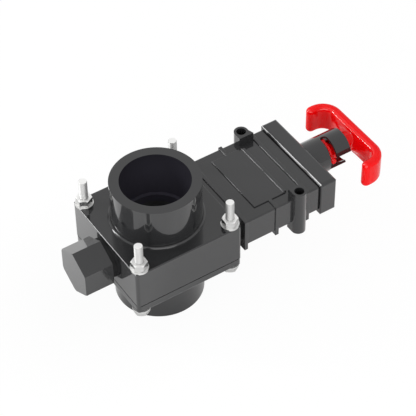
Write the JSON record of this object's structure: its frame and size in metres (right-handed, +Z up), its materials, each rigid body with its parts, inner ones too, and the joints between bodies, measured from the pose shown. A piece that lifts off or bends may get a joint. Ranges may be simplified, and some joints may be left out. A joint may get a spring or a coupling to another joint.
{
  "type": "sewer gate valve",
  "caption": "Sliding gate valve with two solvent pipe sockets, a ribbed side bonnet, a push-pull T-handle with bayonet lock and a hexagonal cleaning plug.",
  "frame": {"origin": "centre of the lower pipe socket's mouth", "axes": "+Z up along the pipe, +X along the stem towards the T-handle, +Y across the stem"},
  "size_m": [0.3061, 0.1092, 0.132],
  "materials": {
    "pvc": "glossy moulded dark grey",
    "gate_plastic": "satin moulded dark grey",
    "liner": "satin moulded off-white",
    "rubber": "matt black",
    "red": "glossy moulded red",
    "steel": "bright stainless"
  },
  "bodies": {
    "body": {"housing": "pvc", "lower_flange": "pvc", "flange_gasket": "rubber", "upper_seal": "rubber", "lower_seal": "rubber", "gate_guide": "liner", "bonnet": "pvc", "bonnet_gasket": "rubber", "end_cap": "pvc", "cap_gasket": "rubber", "cap_screws": "steel", "stem_bush": "liner", "stem_seals": "rubber", "tie_bolts": "steel", "head_washers": "steel", "nut_washers": "steel", "nuts": "steel"},
    "gate_plate": {"gate": "gate_plastic", "stem_clip": "steel"},
    "pull_handle": {"stem": "pvc", "handle": "red", "handle_pin": "steel"},
    "plug_seal": {"plug_gasket": "rubber"},
    "cleaning_plug": {"drain_plug": "pvc"}
  },
  "joints": [
    {"name": "gate_slide", "type": "slide", "parent": "body", "child": "gate_plate", "axis": [1, 0, 0], "range_m": [0, 0.063]},
    {"name": "handle_turn", "type": "hinge", "parent": "gate_plate", "child": "pull_handle", "pos_m": [0.181, 0, 0.0677], "axis": [-1, 0, 0], "range_deg": [0, 87]},
    {"name": "plug_draw", "type": "slide", "parent": "body", "child": "plug_seal", "axis": [-1, 0, 0], "range_m": [0, 0.0142]},
    {"name": "plug_turn", "type": "hinge", "parent": "plug_seal", "child": "cleaning_plug", "pos_m": [-0.0577, 0, 0.066], "axis": [-1, 0, 0], "range_deg": [0, 2160]}
  ],
  "couplings": [
    {"joint": "plug_draw", "follows": "plug_turn", "m_per_rad": 0.0003675}
  ]
}
